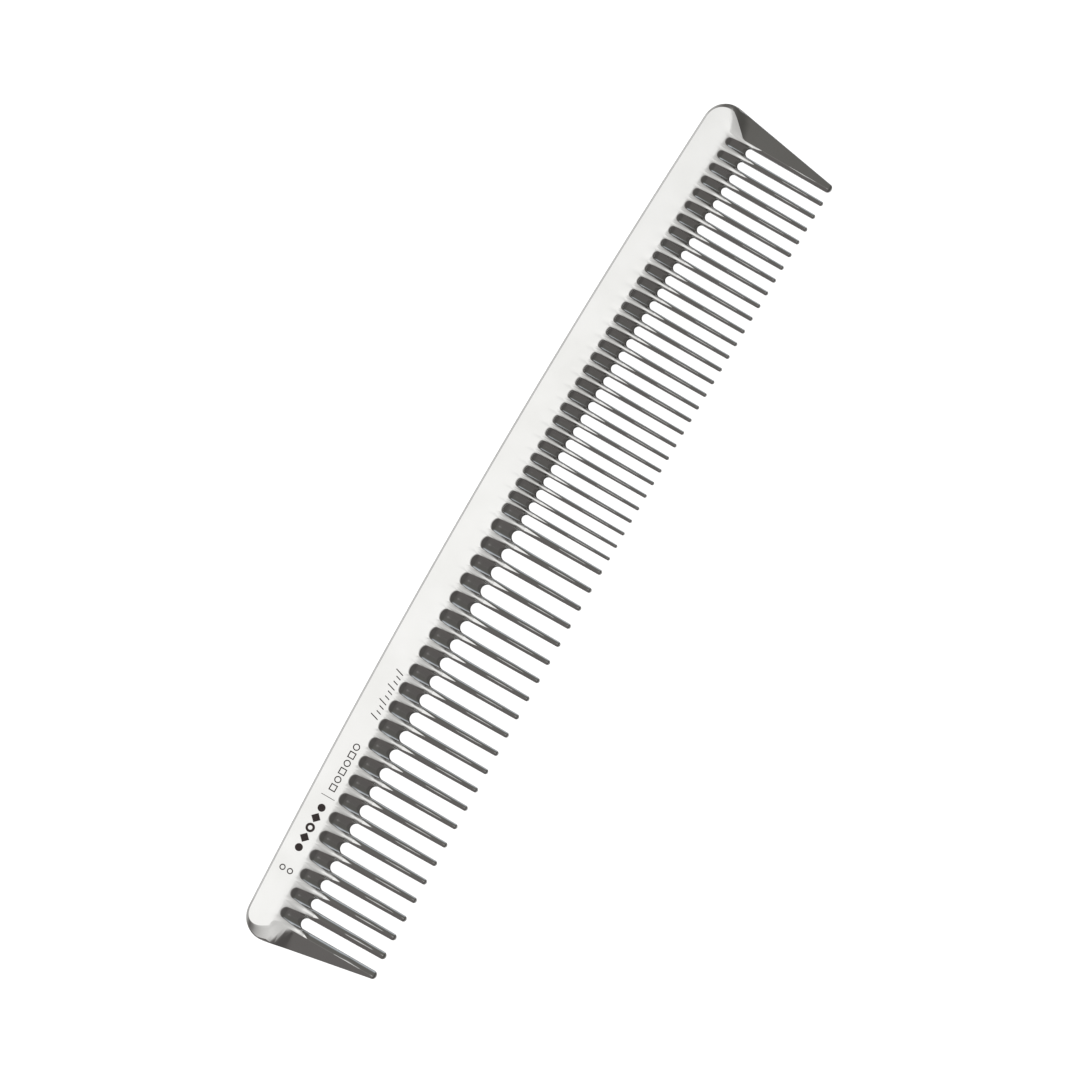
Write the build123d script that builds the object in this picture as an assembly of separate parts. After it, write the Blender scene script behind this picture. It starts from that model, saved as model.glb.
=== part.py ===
from build123d import *
import math
import os

# A one-piece steel grooming comb lying flat on its underside, in millimetres.
# X runs along the comb from the coarse end (-X) to the fine end (+X), the back of the spine is
# towards +Y, the teeth point to -Y, and Z goes up through the thickness from the rest plane z = 0.
# The metal is divided face to face into a spine, two guard teeth and 51 teeth.

# Overall size
BACK_Y = 15.75              # top of the arched back
THICKNESS = 4.2             # over the two flat lands of the spine
MID_Z = THICKNESS / 2

# Arches: the back, the lower edge of the land and the gap roots share one centre
ARCH_RADIUS = 1780.0
ARCH_CENTRE_Y = BACK_Y - ARCH_RADIUS
LAND_EDGE_Y = 9.2           # lower edge of the flat land, at x = 0
KNEE_Y = 5.9                # where the bevel below the land eases into the teeth, at x = 0
ROOT_Y = 4.94               # gap roots, at x = 0
TIP_ARCH_RADIUS = 3075.0
TIP_APEX_X = -7.0           # the line of tips is highest a little off centre
TIP_Y = -14.28              # tips at TIP_APEX_X

# Slopes of each face, as rise over run towards the teeth
RIB_SLOPE = 0.105           # between land and knee
TOOTH_SLOPE = 0.0507        # from the knee to the tips

# The two ends: outer edges lean inwards towards the tips
COARSE_EDGE_X = -93.78      # outer edge at y = 0
COARSE_EDGE_LEAN = 0.186    # x gained per millimetre towards the tips
FINE_EDGE_X = 93.55
FINE_EDGE_LEAN = 0.174
CORNER_RADIUS = 5.2

# Rim bevel around the land: its drop, and its width at the back and at each end
RIM_DROP = 0.3
RIM_BACK = 0.35
RIM_FINE_END = 1.25
LAND_FINE_CORNER = 4.2
LAND_COARSE_CORNER = 2.2
LAND_COARSE_TOP = (-94.9, 12.6)       # the land ends on this slanted line at the coarse end
LAND_COARSE_LOW = (-91.7, 7.8)

# Teeth
COARSE_COUNT = 22
COARSE_FIRST_X = -85.86
COARSE_PITCH = (4.195, 4.119)         # outermost and innermost
COARSE_BASE = 1.5
COARSE_TIP = 1.09
COARSE_EXTRA = (0.46, 0.28)           # base and tip width added to the outermost tooth
EXTRA_FADE = 2.0                      # teeth over which that addition dies away
FINE_COUNT = 29
FINE_FIRST_X = 4.62
FINE_PITCH = (2.876, 2.985)           # innermost and outermost
FINE_BASE = (0.97, 1.2)               # innermost and outermost
FINE_TIP = (0.73, 0.97)
NECK_DEPTH = 1.6                      # a tooth starts this far below the line of gap roots
NECK_LENGTH = 3.0                     # over which its faces become flatter
BASE_CROWN = 0.42                     # height of the crowned faces at the base, as a share of width
CROWN = 0.2                           # and from the neck to the tip
TIP_ROWS = ((0.45, 1.0), (0.2, 0.85), (0.06, 0.6), (0.0, 0.35))   # rounded end: distance, size
GUARD_TIP_ROUND = 0.8                 # rounding of a guard's end, as a share of its half thickness

# Guard teeth
COARSE_GUARD_INNER_X = -89.27
FINE_GUARD_INNER_X = 89.12
COARSE_GUARD_TIP_Y = -15.55
FINE_GUARD_TIP_Y = -15.75
GUARD_TIP_RADIUS = 0.85
FACET_OFFSET = 1.2                    # inner edge of the outer facet, from the guard's inner edge
FACET_TILT = 13.0                     # degrees, falling outwards
RAMP_TILT = 24.0                      # degrees, of the short ramp that leads down to the facet
COARSE_RAMP_LINE = ((-94.4, 6.64), (-90.6, 3.67))     # top edge of the ramp, outer and inner end
FINE_RAMP_LINE = ((92.8, 7.44), (90.0, 4.46))

# Scoops in both faces above each gap
SCOOP_SHARES = (1.5, 1.26)            # scoop radius over the gap's, coarse and fine
SCOOP_NOSES = (3.1, 3.5)              # from gap root to the centre of the round nose
SCOOP_LIP = 0.7                       # half thickness left at the gap root
SCOOP_SLOPE = 13.0                    # degrees, floor rising towards the nose

# Printed marks on the upper land near the coarse end: plain shapes in a thin coat of ink
INK = 0.03
MARK_Y = 10.6                         # middle line of the marks
THIN = 0.22                           # stroke of the thin marks
DOT_PAIR_X = -80.5
DOT_PAIR_RADIUS = 0.62
DOT_PAIR_SPACE = 1.7
BOLD_FIRST_X = -75.5
BOLD_PITCH = 2.25
BOLD_RADII = (0.8, 1.05, 0.95, 1.05, 0.8)    # disc, diamond, ring, diamond, disc
BOLD_STROKE = 0.5
DIVIDER_X = -64.0
DIVIDER_SIZE = (0.12, 3.0)
FRAME_FIRST_X = -61.9
FRAME_PITCH = 1.85
FRAME_COUNT = 6                       # square frames and rings by turns
FRAME_RADIUS = 0.72
SLANT_FIRST_X = -45.6
SLANT_PITCH = 1.12
SLANT_HEIGHTS = (1.8, 1.1, 1.1, 1.8, 1.1, 1.1, 1.8, 1.1, 1.1, 1.8)
SLANT_LEAN = 0.3

BIG = 260.0                           # larger than the comb, for cutting bodies
CLEARANCE = 2.0                       # by which cutting bodies pass beyond the metal
BLANK_LOW_Y = -2.0                    # lower side of the blank that the spine is cut from
SETTLE_STEPS = 20                     # passes for an end line to settle on an arch


def arch_y(x, apex_y):
    """Height of an arch concentric with the back, at x, that is apex_y high at x = 0."""
    radius = apex_y - ARCH_CENTRE_Y
    return ARCH_CENTRE_Y + math.sqrt(radius**2 - x**2)


def tip_y(x):
    return TIP_Y - TIP_ARCH_RADIUS + math.sqrt(TIP_ARCH_RADIUS**2 - (x - TIP_APEX_X) ** 2)


def half_thickness(x, y):
    """Half the thickness of a rib or tooth at a point below the land."""
    knee = arch_y(x, KNEE_Y)
    at_knee = MID_Z - RIB_SLOPE * (LAND_EDGE_Y - KNEE_Y)
    if y < knee:
        return at_knee - TOOTH_SLOPE * (knee - y)
    return at_knee + RIB_SLOPE * (y - knee)


def coarse_edge_x(y):
    return COARSE_EDGE_X - COARSE_EDGE_LEAN * y


def fine_edge_x(y):
    return FINE_EDGE_X + FINE_EDGE_LEAN * y


def spaced(first, pitches, count):
    """Positions whose pitch changes evenly from pitches[0] to pitches[1]."""
    step = (pitches[1] - pitches[0]) / (count - 2)
    places = [first]
    for i in range(count - 1):
        places.append(places[-1] + pitches[0] + i * step)
    return places


def tooth_list():
    """(name, x, base width, tip width) of each tooth between the guards, from -X to +X."""
    teeth = []
    for i, x in enumerate(spaced(COARSE_FIRST_X, COARSE_PITCH, COARSE_COUNT)):
        fade = math.exp(-i / EXTRA_FADE)
        base = COARSE_BASE + COARSE_EXTRA[0] * fade
        tip = COARSE_TIP + COARSE_EXTRA[1] * fade
        teeth.append((f"coarse_tooth_{i + 1:02d}", x, base, tip))
    for i, x in enumerate(spaced(FINE_FIRST_X, FINE_PITCH, FINE_COUNT)):
        share = i / (FINE_COUNT - 1)
        base = FINE_BASE[0] + share * (FINE_BASE[1] - FINE_BASE[0])
        tip = FINE_TIP[0] + share * (FINE_TIP[1] - FINE_TIP[0])
        teeth.append((f"fine_tooth_{i + 1:02d}", x, base, tip))
    return teeth


def gap_list(teeth):
    """(left flank x, right flank x) of each gap at the tooth bases, guards included."""
    lefts = [COARSE_GUARD_INNER_X] + [x + base / 2 for _, x, base, _ in teeth]
    rights = [x - base / 2 for _, x, base, _ in teeth] + [FINE_GUARD_INNER_X]
    return list(zip(lefts, rights))


def base_y(x):
    """Where the metal is divided between spine and tooth."""
    return arch_y(x, ROOT_Y) - NECK_DEPTH


def prism(sketch, low=-CLEARANCE, high=THICKNESS + CLEARANCE):
    return Pos(0, 0, low) * extrude(sketch, high - low)


def outline(coarse_top, coarse_low, fine_top, fine_low, back_y, radii):
    """Face bounded by an arched back, two straight ends and a straight lower side."""
    line = [
        ThreePointArc(coarse_top, (0, back_y), fine_top),
        Line(fine_top, fine_low),
        Line(fine_low, coarse_low),
        Line(coarse_low, coarse_top),
    ]
    face = make_face(line)
    corners = face.vertices().sort_by(Axis.Y)[-2:].sort_by(Axis.X)
    for corner, radius in zip(corners, radii):
        near = face.vertices().sort_by_distance(corner)[0]
        face = fillet(near, radius)
    return face


def on_arch(edge_x, back_y):
    """Where an end line x = edge_x(y) meets the arch that is back_y high at x = 0."""
    y = back_y
    for _ in range(SETTLE_STEPS):
        y = arch_y(edge_x(y), back_y)
    return (edge_x(y), y)


def rim_outlines(low_y):
    """The comb's outer outline, and the outline of its flat land."""
    outer = outline(
        on_arch(coarse_edge_x, BACK_Y),
        (coarse_edge_x(low_y), low_y),
        on_arch(fine_edge_x, BACK_Y),
        (fine_edge_x(low_y), low_y),
        BACK_Y,
        (CORNER_RADIUS, CORNER_RADIUS),
    )
    slant = (LAND_COARSE_LOW[0] - LAND_COARSE_TOP[0]) / (LAND_COARSE_LOW[1] - LAND_COARSE_TOP[1])

    def land_coarse_x(y):
        return LAND_COARSE_LOW[0] + slant * (y - LAND_COARSE_LOW[1])

    def land_fine_x(y):
        return fine_edge_x(y) - RIM_FINE_END

    land = outline(
        on_arch(land_coarse_x, BACK_Y - RIM_BACK),
        (land_coarse_x(low_y), low_y),
        on_arch(land_fine_x, BACK_Y - RIM_BACK),
        (land_fine_x(low_y), low_y),
        BACK_Y - RIM_BACK,
        (LAND_COARSE_CORNER, LAND_FINE_CORNER),
    )
    return outer, land


def blank():
    """The plate with its rim bevels, before the teeth are cut."""
    outer, land = rim_outlines(BLANK_LOW_Y)
    lower = loft([land, Pos(0, 0, RIM_DROP) * outer], ruled=True)
    middle = Pos(0, 0, RIM_DROP) * extrude(outer, THICKNESS - 2 * RIM_DROP)
    upper = mirror(lower, about=Plane.XY.offset(MID_Z))
    return lower + middle + upper


def thickness_envelope():
    """Ring sector whose section has the land, the bevel below it and the start of the teeth."""
    low_y = BLANK_LOW_Y
    corners = [
        (BACK_Y + CLEARANCE, MID_Z),
        (LAND_EDGE_Y, MID_Z),
        (KNEE_Y, half_thickness(0, KNEE_Y)),
        (low_y, half_thickness(0, low_y)),
    ]
    points = [(y, MID_Z + half) for y, half in corners]
    points += [(y, MID_Z - half) for y, half in reversed(corners)]
    section = Plane.YZ * make_face(Polyline(points, close=True))
    sweep_angle = math.degrees(BIG / ARCH_RADIUS)
    ring = revolve(section, Axis((0, ARCH_CENTRE_Y, 0), (0, 0, 1)), sweep_angle)
    return ring.rotate(Axis((0, ARCH_CENTRE_Y, 0), (0, 0, 1)), -sweep_angle / 2)


def gap_cutter(left, right, low_y):
    """Slot with a half-round root, from the line of roots down to low_y."""
    middle = (left + right) / 2
    radius = (right - left) / 2
    root = arch_y(middle, ROOT_Y) - radius
    slot = Pos(middle, (root + low_y) / 2) * Rectangle(2 * radius, root - low_y)
    return slot + Pos(middle, root) * Circle(radius)


def stub_cutter(x_low, x_high, y, low_y):
    return Pos((x_low + x_high) / 2, (y + low_y) / 2) * Rectangle(x_high - x_low, y - low_y)


def tooth_gaps(teeth, gaps):
    """Everything below the spine in plan: the gaps, and the space that the teeth take."""
    low_y = BLANK_LOW_Y - CLEARANCE
    middles = [(left + right) / 2 for left, right in gaps]
    plan = Sketch()
    plan += [gap_cutter(left, right, low_y) for left, right in gaps]
    for (_, x, _, _), x_low, x_high in zip(teeth, middles[:-1], middles[1:]):
        plan += stub_cutter(x_low, x_high, base_y(x), low_y)
    plan += stub_cutter(-BIG / 2, middles[0], base_y(COARSE_GUARD_INNER_X), low_y)
    plan += stub_cutter(middles[-1], BIG / 2, base_y(FINE_GUARD_INNER_X), low_y)
    return prism(plan)


def scoop_cutter(left, right, share, nose_length):
    """Round-bottomed channel with a round nose, sinking to the lip at the gap root."""
    middle = (left + right) / 2
    radius = share * (right - left) / 2
    root = arch_y(middle, ROOT_Y)
    rise = math.tan(math.radians(SCOOP_SLOPE))
    nose = root + nose_length
    axis_z = MID_Z + SCOOP_LIP + rise * (nose - root) + radius
    reach = nose - root + NECK_DEPTH + CLEARANCE
    down = Vector(0, -math.cos(math.radians(SCOOP_SLOPE)), -math.sin(math.radians(SCOOP_SLOPE)))
    start = Plane((middle, nose, axis_z), x_dir=(1, 0, 0), z_dir=down)
    section = Circle(radius) + Pos(0, radius) * Rectangle(2 * radius, 2 * radius)
    channel = extrude(start * section, reach, dir=down)
    return channel + Pos(middle, nose, axis_z) * Sphere(radius)


def above(point, normal):
    """Half space on the side that the normal points to."""
    return Plane(point, z_dir=normal) * Box(BIG, BIG, BIG, align=(Align.CENTER, Align.CENTER, Align.MIN))


def facet_cutter(inner_x, ramp_line, side):
    """Takes the outer facet of a guard tooth and the ramp above it; side is -1 or +1."""
    facet_x = inner_x + side * FACET_OFFSET
    level = half_thickness(facet_x, 0.0)
    tilt = math.tan(math.radians(FACET_TILT))
    facet = above((facet_x, 0, MID_Z + level), (side * tilt, -TOOTH_SLOPE, 1))
    outer, inner = Vector(*ramp_line[0], 0), Vector(*ramp_line[1], 0)
    along = (outer - inner).normalized()
    downhill = Vector(side * abs(along.Y), -abs(along.X), 0)
    steep = math.tan(math.radians(RAMP_TILT))
    top = MID_Z + half_thickness(inner.X, inner.Y)
    ramp = above((inner.X, inner.Y, top), (steep * downhill.X, steep * downhill.Y, 1))
    return facet & ramp


def both_faces(cutter):
    return [cutter, mirror(cutter, about=Plane.XY.offset(MID_Z))]


def facet_cutters():
    coarse = facet_cutter(COARSE_GUARD_INNER_X, COARSE_RAMP_LINE, -1)
    fine = facet_cutter(FINE_GUARD_INNER_X, FINE_RAMP_LINE, 1)
    return both_faces(coarse), both_faces(fine)


def make_spine(teeth, gaps, facets):
    body = (blank() & thickness_envelope()) - tooth_gaps(teeth, gaps)
    scoops = []
    for i, (left, right) in enumerate(gaps):
        kind = 0 if i <= COARSE_COUNT else 1
        scoops += both_faces(scoop_cutter(left, right, SCOOP_SHARES[kind], SCOOP_NOSES[kind]))
    return body - scoops - facets[0] - facets[1]


def tooth_section(x, y, width, crown, size=1.0):
    """Section across a tooth, facing the tip: upright flanks and crowned upper and lower faces."""
    half_width = size * width / 2
    ridge = size * half_thickness(x, y)
    shoulder = ridge - crown * size * width
    line = [
        ThreePointArc((-half_width, shoulder), (0, ridge), (half_width, shoulder)),
        Line((half_width, shoulder), (half_width, -shoulder)),
        ThreePointArc((half_width, -shoulder), (0, -ridge), (-half_width, -shoulder)),
        Line((-half_width, -shoulder), (-half_width, shoulder)),
    ]
    return Plane((x, y, MID_Z), x_dir=(1, 0, 0), z_dir=(0, -1, 0)) * make_face(line)


def make_tooth(x, base, tip):
    start, end = base_y(x), tip_y(x)
    neck = start - NECK_LENGTH
    neck_width = base + (tip - base) * NECK_LENGTH / (start - end)
    sections = [
        tooth_section(x, start, base, BASE_CROWN),
        tooth_section(x, neck, neck_width, CROWN),
    ]
    for distance, size in TIP_ROWS:
        sections.append(tooth_section(x, end + distance * tip, tip, CROWN, size))
    return loft(sections, ruled=True)


def make_guard(inner_x, edge_x, end_y, facets):
    """Broad end tooth: straight inner edge, leaning outer edge, round tip and an outer facet."""
    top_y = base_y(inner_x)
    corners = [(inner_x, top_y), (edge_x(top_y), top_y), (edge_x(end_y), end_y), (inner_x, end_y)]
    plan = make_face(Polyline(corners, close=True))
    plan = fillet(plan.vertices().sort_by(Axis.Y)[:2], GUARD_TIP_RADIUS)
    base_half, tip_half = half_thickness(inner_x, top_y), half_thickness(inner_x, end_y)
    side_corners = [
        (top_y, MID_Z + base_half),
        (top_y, MID_Z - base_half),
        (end_y, MID_Z - tip_half),
        (end_y, MID_Z + tip_half),
    ]
    side = make_face(Polyline(side_corners, close=True))
    side = fillet(side.vertices().sort_by(Axis.X)[:2], GUARD_TIP_ROUND * tip_half)
    profile = Plane.YZ * side
    plate = Pos(-BIG / 2, 0, 0) * extrude(profile, BIG)
    return (prism(plan) & plate) - facets


def bar(x, y, width, height, lean=0.0):
    """Upright stroke, or one that leans towards +X."""
    shift = lean * height / 2
    half_width, half_height = width / 2, height / 2
    corners = [
        (x - half_width - shift, y - half_height),
        (x + half_width - shift, y - half_height),
        (x + half_width + shift, y + half_height),
        (x - half_width + shift, y + half_height),
    ]
    return make_face(Polyline(corners, close=True))


def ring(x, y, radius, stroke):
    return Pos(x, y) * (Circle(radius) - Circle(radius - stroke))


def square_frame(x, y, radius, stroke):
    inner = 2 * (radius - stroke)
    return Pos(x, y) * (Rectangle(2 * radius, 2 * radius) - Rectangle(inner, inner))


def bold_marks():
    places = [Pos(BOLD_FIRST_X + i * BOLD_PITCH, MARK_Y) for i in range(len(BOLD_RADII))]
    discs = [places[i] * Circle(BOLD_RADII[i]) for i in (0, 4)]
    diamonds = [places[i] * RegularPolygon(BOLD_RADII[i], 4) for i in (1, 3)]
    middle = ring(BOLD_FIRST_X + 2 * BOLD_PITCH, MARK_Y, BOLD_RADII[2], BOLD_STROKE)
    return discs + diamonds + [middle]


def thin_marks():
    shapes = [bar(DIVIDER_X, MARK_Y, *DIVIDER_SIZE)]
    for side in (-1, 1):
        y = MARK_Y + side * DOT_PAIR_SPACE / 2
        shapes.append(ring(DOT_PAIR_X, y, DOT_PAIR_RADIUS, THIN))
    for i in range(FRAME_COUNT):
        make = square_frame if i % 2 == 0 else ring
        shapes.append(make(FRAME_FIRST_X + i * FRAME_PITCH, MARK_Y, FRAME_RADIUS, THIN))
    foot = MARK_Y - SLANT_HEIGHTS[0] / 2
    for i, height in enumerate(SLANT_HEIGHTS):
        x = SLANT_FIRST_X + i * SLANT_PITCH
        shapes.append(bar(x, foot + height / 2, THIN, height, SLANT_LEAN))
    return shapes


def make_marks():
    shapes = bold_marks() + thin_marks()
    return Compound([prism(shape, THICKNESS, THICKNESS + INK).solid() for shape in shapes])


def export(name, shape):
    solids = shape.solids()
    if len(solids) != 1:
        raise ValueError(f"{name} has {len(solids)} solids")
    export_step(solids[0], f"parts/{name}.step")


def main():
    os.makedirs("parts", exist_ok=True)
    teeth = tooth_list()
    gaps = gap_list(teeth)
    facets = facet_cutters()
    export("spine", make_spine(teeth, gaps, facets))
    export("coarse_guard_tooth", make_guard(
        COARSE_GUARD_INNER_X, coarse_edge_x, COARSE_GUARD_TIP_Y, facets[0]))
    export("fine_guard_tooth", make_guard(
        FINE_GUARD_INNER_X, fine_edge_x, FINE_GUARD_TIP_Y, facets[1]))
    for name, x, base, tip in teeth:
        export(name, make_tooth(x, base, tip))
    export_step(make_marks(), "parts/printed_marks.step")


main()
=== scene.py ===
import math

import bpy
import numpy as np
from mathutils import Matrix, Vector


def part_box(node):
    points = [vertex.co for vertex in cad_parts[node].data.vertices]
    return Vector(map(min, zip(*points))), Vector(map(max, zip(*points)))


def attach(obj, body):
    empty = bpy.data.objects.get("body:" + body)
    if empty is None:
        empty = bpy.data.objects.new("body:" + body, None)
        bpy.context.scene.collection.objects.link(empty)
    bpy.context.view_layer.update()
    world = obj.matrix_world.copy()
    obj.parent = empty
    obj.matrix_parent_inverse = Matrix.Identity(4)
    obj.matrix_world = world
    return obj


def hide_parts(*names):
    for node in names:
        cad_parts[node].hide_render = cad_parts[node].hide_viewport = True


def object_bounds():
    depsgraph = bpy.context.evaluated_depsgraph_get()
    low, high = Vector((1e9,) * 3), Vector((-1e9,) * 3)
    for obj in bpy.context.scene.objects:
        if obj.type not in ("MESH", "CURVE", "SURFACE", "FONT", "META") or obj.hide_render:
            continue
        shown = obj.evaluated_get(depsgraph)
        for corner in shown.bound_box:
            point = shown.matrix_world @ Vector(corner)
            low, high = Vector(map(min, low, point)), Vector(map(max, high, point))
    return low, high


# A polished steel grooming comb lying flat on a pale floor. Lengths here are millimetres in the
# part's frame: +X towards the fine end, +Y towards the back of the spine, +Z up from the floor.
# Every metal piece is one closed mesh: its upper half is built as smooth grids over the mid-plane
# and mirrored down. The places of spine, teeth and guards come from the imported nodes.

MM = 0.001

# Shape of the spine
ARCH_RADIUS = 1780.0        # of the back; the knee and gap roots share its centre
KNEE_DEPTH = 9.85           # below the back
ROOT_DEPTH = 10.81
RIB_SLOPE = 0.1
LAND_EDGE_RADIUS = 3700.0   # of the land's lower edge, which is straighter than the back
LAND_EDGE_DEPTH = 6.47      # below the back, at x = 0
LAND_EDGE_CORNER = 2.6      # where it turns up at the fine end
TOOTH_SLOPE = 0.0507
LAND_CREASE = 0.008         # creases: the height over which two faces are rounded into each other
KNEE_CREASE = 0.01

# Rim bevel and the outline of the land
CORNER_RADII = (5.9, 5.5)   # coarse end, fine end
COARSE_EDGE_LEAN = 0.186
FINE_EDGE_LEAN = 0.174
RIM_DROP = 0.3              # height of the bevel
RIM_END_DROPS = (0.25, 0.18)      # coarse end, fine end
RIM_FADES = ((-86.0, -90.0), (90.0, 93.0))    # where the drop changes to that of the end
RIM_BACK = 0.35             # width of the rim bevel along the back
RIM_FINE_END = 1.25         # and at the fine end
RIM_CREASE = 0.03
LAND_CORNERS = (4.2, 4.1)
LAND_COARSE_TOP = (-94.9, 12.6)   # the land's end line at the coarse end runs from here
LAND_COARSE_LOW = (-91.7, 7.8)    # to here
EDGE_ROUND = 0.14
EDGE_ROLL = (7.5, 1.6, 0.45)      # rounder edge at both ends: about this y, within, radius added
ROLL_FACING = 0.7           # only where the edge faces this much along X

# Outer facet of each guard tooth, and the ramps that lead down to it
FACET_OFFSETS = (1.2, 0.75)       # from the guard's inner side, coarse and fine
FACET_TILT = math.tan(math.radians(13.0))
FACET_CREASE = 0.01
RAMP_TILT = math.tan(math.radians(24.0))
RAMP_CREASE = 0.03
COARSE_RAMP_LINES = (
    ((-94.4, 5.5), (-92.7, 3.6)),
    ((-92.7, 3.6), (-90.0, 3.7)),
)
FINE_RAMP_LINES = (((92.8, 7.44), (90.0, 4.46)),)

# Scoops, with a shallow dish polished into the metal round their rims
COARSE_SCOOP = (1.5, 3.1)   # radius over the gap's, and from gap root to centre of the nose
FINE_SCOOP = (1.26, 3.5)
SCOOP_LIP = 0.7
SCOOP_RISE = math.tan(math.radians(13.0))
SCOOP_CREASE = 0.03
SCOOP_WALL_FROM = 0.9995    # share of the radius beyond which the round bottom turns to a wall
SCOOP_WALL_SLOPE = 40.0
DISH_WIDTH = 0.35
DISH_SLOPE = 0.1
DISH_BELOW_ROOTS = 0.4      # where the dish starts to grow, below the gap roots
LIP_BULGE = 0.06            # how far the gap edge is rounded at the root
FLANK_BULGE = 0.04          # and beside the necks
CELL_TOP_DEPTH = ROOT_DEPTH - 5.05

# Necks and teeth: a flat leaf that runs out, crowned shoulders and upright flanks
LEAF_END_Y = 0.1
LEAF_SHARE = 0.6            # half width of the leaf at the roots, over the tooth's
GUARD_LEAF_SHARE = 0.8
LEAF_POWER = 0.7
CROWN_ANGLE = math.radians(42.0)
CROWN_CORNER = 0.03
CROWN_CORNER_INSET = 0.3    # over the corner's height
TIP_SHRINK = 0.02           # size of the last row of a rounded tip
RIDGE_ANGLE = 12.0          # degrees, of the crown where it meets the ridge
WORN_RIDGE = (0.62, 0.14, 8.0)    # rounder stretch: middle and spread along the tooth, degrees less
NECK_TURN = (0.1, -0.9)     # from the roots: a rib has become a neck between these heights
COARSE_TAPER = 0.41         # base width less tip width
FINE_TAPER = 0.24

# Mesh density
NECK_STEPS = 3
SIDE_STEPS = 9
ABOVE_LAND_STEPS = 2
COARSE_TOP_STEPS = 16
FINE_TOP_STEPS = 12
SCOOP_STEPS = 7
LIP_STEPS = 4
HALF_STEPS = 16             # across half a neck, the last of them down its flank
FLANK_STEPS = 4
CORNER_STEPS = 12
LAND_STEPS = 3
RIM_STEPS = 5
EDGE_STEPS = 2
TOOTH_STEPS = 30
TIP_STEPS = 8
SCOOP_SPACING = 1.3         # powers that crowd the grid lines towards the start
TOOTH_SPACING = 1.3
GUARD_SPACING = 1.2
BISECTIONS = 30
WELDS_PER_MM = 2000         # points closer than this are one vertex

# Places of grid lines beside a crease
DISH_STEP = (0.03, 0.1)     # outside the dish: distance, and its limit as a share of the rim's
RIM_STEP_OUT = (0.04, 0.3)  # outside the scoop's rim, likewise
RIM_STEP_IN = 0.05
DISH_LIMIT = 0.75           # widest dish as a share of the way to the rim
LAND_END_OFFSETS = (-0.1, -0.04, 0.0, 0.04)
SECOND_LINE_STEP = 0.05
SHOULDER_STEP = 0.08
BETWEEN_LINES = 0.2         # least distance between two breaks of slope
FIRST_LINE = 0.15           # least distance of the first one from the start

# Grid lines that run out from the cells to the edge
LONGEST_RAY = 25.0
RAY_SAMPLES = 400
FAN_TURN = 25.0             # degrees by which they lean towards the comb's corners
FAN_WIDTH = 14.0            # over this distance along the top of the cells
FAN_RISE = 6.0              # and over this one up their sides

# Picture
FLOOR_SIZE = 3.0            # metres from the middle to the edge
FLOOR_GLOW = 0.12           # strength for reflections and bounced light
LENS = 300.0
SENSOR = 36.0
VIEW_WIDTH = 214.2
VIEW_TURN = -60.0           # degrees
VIEW_OFFSET = (1.23, -0.34, 0.0)

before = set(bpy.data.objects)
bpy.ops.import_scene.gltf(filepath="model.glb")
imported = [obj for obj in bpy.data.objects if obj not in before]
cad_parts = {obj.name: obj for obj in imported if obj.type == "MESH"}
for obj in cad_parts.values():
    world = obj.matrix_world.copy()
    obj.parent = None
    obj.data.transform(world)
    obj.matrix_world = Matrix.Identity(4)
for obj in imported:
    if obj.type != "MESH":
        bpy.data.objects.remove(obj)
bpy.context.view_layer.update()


def box_mm(node):
    low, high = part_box(node)
    return np.array(low) / MM, np.array(high) / MM


spine_low, spine_high = box_mm("spine")
BACK_Y = spine_high[1]
MID_Z = (spine_low[2] + spine_high[2]) / 2
LAND_Z = spine_high[2] - MID_Z
ARCH_CENTRE_Y = BACK_Y - ARCH_RADIUS


# ---------------------------------------------------------------- shape functions
# They take numbers or arrays. Heights are above the mid-plane of the comb.

def arch(x, depth):
    """y of the arch that lies depth below the back."""
    return ARCH_CENTRE_Y + np.sqrt((ARCH_RADIUS - depth) ** 2 - np.square(x))


def smooth_step(t):
    t = np.clip(t, 0.0, 1.0)
    return t * t * (3 - 2 * t)


def soft_min(a, b, width):
    """The lower of two heights, rounded over width."""
    mix = np.clip(0.5 + 0.5 * (b - a) / width, 0.0, 1.0)
    return b + (a - b) * mix - width * mix * (1 - mix)


def soft_max(a, b, width):
    """The higher of two heights, rounded over width."""
    return -soft_min(-a, -b, width)


def rib_height(x, y):
    """Half thickness along the ribs and teeth, below the land."""
    knee_y = arch(x, KNEE_DEPTH)
    edge_y = BACK_Y - LAND_EDGE_DEPTH - np.square(x) / (2 * LAND_EDGE_RADIUS)
    above_edge = rounded_corner(y - edge_y, FINE.inside_land(x, y), LAND_EDGE_CORNER)
    rib = LAND_Z + RIB_SLOPE * above_edge
    tooth = LAND_Z - RIB_SLOPE * (edge_y - knee_y) - TOOTH_SLOPE * (knee_y - y)
    return soft_max(rib, tooth, KNEE_CREASE)


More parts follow.
